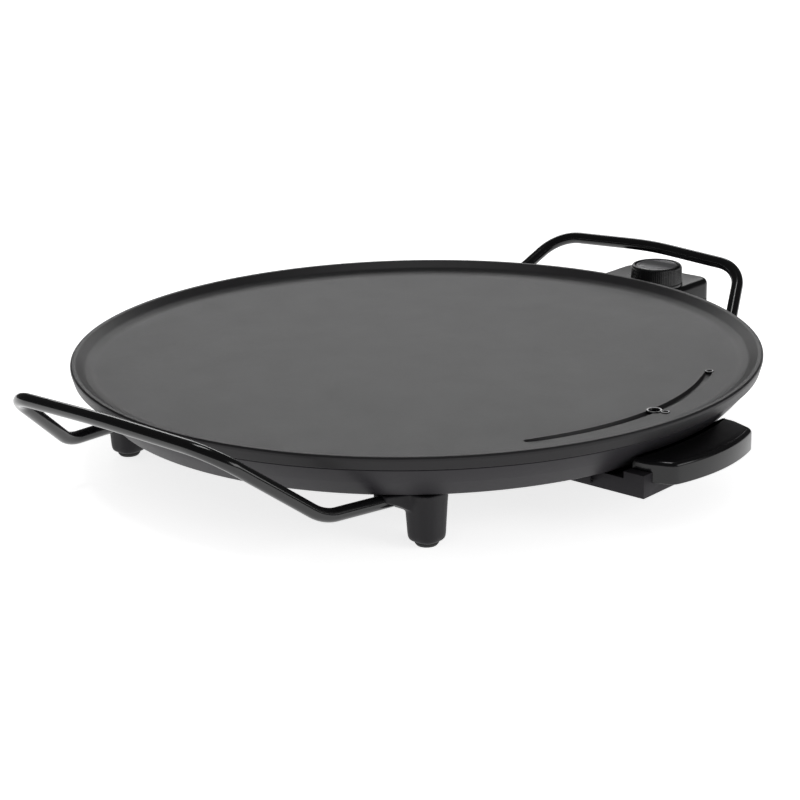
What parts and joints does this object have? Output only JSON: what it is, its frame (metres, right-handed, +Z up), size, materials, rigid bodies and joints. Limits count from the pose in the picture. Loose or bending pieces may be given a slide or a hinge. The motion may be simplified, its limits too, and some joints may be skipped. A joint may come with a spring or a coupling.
{
  "type": "electric griddle",
  "caption": "Round electric table griddle with a raised rim, bent-rod handles, a pull-out grease tray and a plug-in thermostat with a rotary knob.",
  "frame": {"origin": "centre of the whole object's footprint, on the table surface that the four pads rest on; the plate's own axis is at x = -8.95 mm, y = +8.1 mm", "axes": "+X towards the thermostat, +Y away from the grease tray, +Z up"},
  "size_m": [0.6072, 0.4962, 0.0944],
  "materials": {
    "non_stick_coating": "matt non-stick coating on cast aluminium, fine pebbled texture",
    "housing_plastic": "satin heat-resistant moulding",
    "gloss_enamel": "gloss black stove enamel",
    "gloss_plastic": "polished black moulding",
    "rubber_pad": "matt rubber",
    "zinc_screw": "zinc-plated steel",
    "reflector_sheet": "bright rolled sheet",
    "element_sheath": "heat-tinted tube",
    "insulator": "matt heat-resistant insulator",
    "contact_brass": "satin",
    "lamp_lens": "clear amber lens",
    "dial_grey": "satin grey disc"
  },
  "bodies": {
    "base": {"griddle_plate": "non_stick_coating", "base_housing": "housing_plastic", "tray_rail_left": "housing_plastic", "tray_rail_right": "housing_plastic", "foot_front_left": "housing_plastic", "foot_front_right": "housing_plastic", "foot_rear_left": "housing_plastic", "foot_rear_right": "housing_plastic", "foot_pad_front_left": "rubber_pad", "foot_pad_front_right": "rubber_pad", "foot_pad_rear_left": "rubber_pad", "foot_pad_rear_right": "rubber_pad", "handle_left": "gloss_enamel", "handle_right": "gloss_enamel", "heating_element": "element_sheath", "inlet_shroud": "insulator", "reflector_plate": "reflector_sheet", "drip_chute": "reflector_sheet", "terminal_pin_front": "zinc_screw", "terminal_pin_rear": "zinc_screw", "rail_screw_left": "zinc_screw", "rail_screw_right": "zinc_screw", "shroud_screw_front": "zinc_screw", "shroud_screw_rear": "zinc_screw", "housing_screw_1": "zinc_screw", "housing_screw_2": "zinc_screw", "housing_screw_3": "zinc_screw", "housing_screw_4": "zinc_screw", "element_clamp_1": "zinc_screw", "element_clamp_2": "zinc_screw", "element_clamp_3": "zinc_screw", "element_clamp_4": "zinc_screw", "clamp_screw_1": "zinc_screw", "clamp_screw_2": "zinc_screw", "clamp_screw_3": "zinc_screw", "clamp_screw_4": "zinc_screw", "foot_screw_front_left": "zinc_screw", "foot_screw_front_right": "zinc_screw", "foot_screw_rear_left": "zinc_screw", "foot_screw_rear_right": "zinc_screw"},
    "tray": {"grease_tray": "housing_plastic", "tray_front": "gloss_plastic", "tray_screw_left": "zinc_screw", "tray_screw_right": "zinc_screw"},
    "thermostat": {"controller_top_shell": "gloss_plastic", "controller_bottom_shell": "gloss_plastic", "controller_screw_front": "zinc_screw", "controller_screw_rear": "zinc_screw", "contact_block": "insulator", "contact_sleeve_front": "contact_brass", "contact_sleeve_rear": "contact_brass", "probe": "zinc_screw", "thermostat_switch": "insulator", "pilot_lamp_lens": "lamp_lens", "cord_inlet_bushing": "rubber_pad"},
    "dial": {"knob": "gloss_plastic", "knob_insert": "dial_grey", "knob_shaft": "zinc_screw"}
  },
  "joints": [
    {"name": "tray_slide", "type": "slide", "parent": "base", "child": "tray", "axis": [0, -1, 0], "range_m": [0, 0.1]},
    {"name": "thermostat_pull", "type": "slide", "parent": "base", "child": "thermostat", "axis": [1, 0, 0], "range_m": [0, 0.075]},
    {"name": "dial_turn", "type": "hinge", "parent": "thermostat", "child": "dial", "pos_m": [0.25585, -0.0109, 0.0762], "axis": [0, 0, -1], "range_deg": [0, 300]}
  ]
}
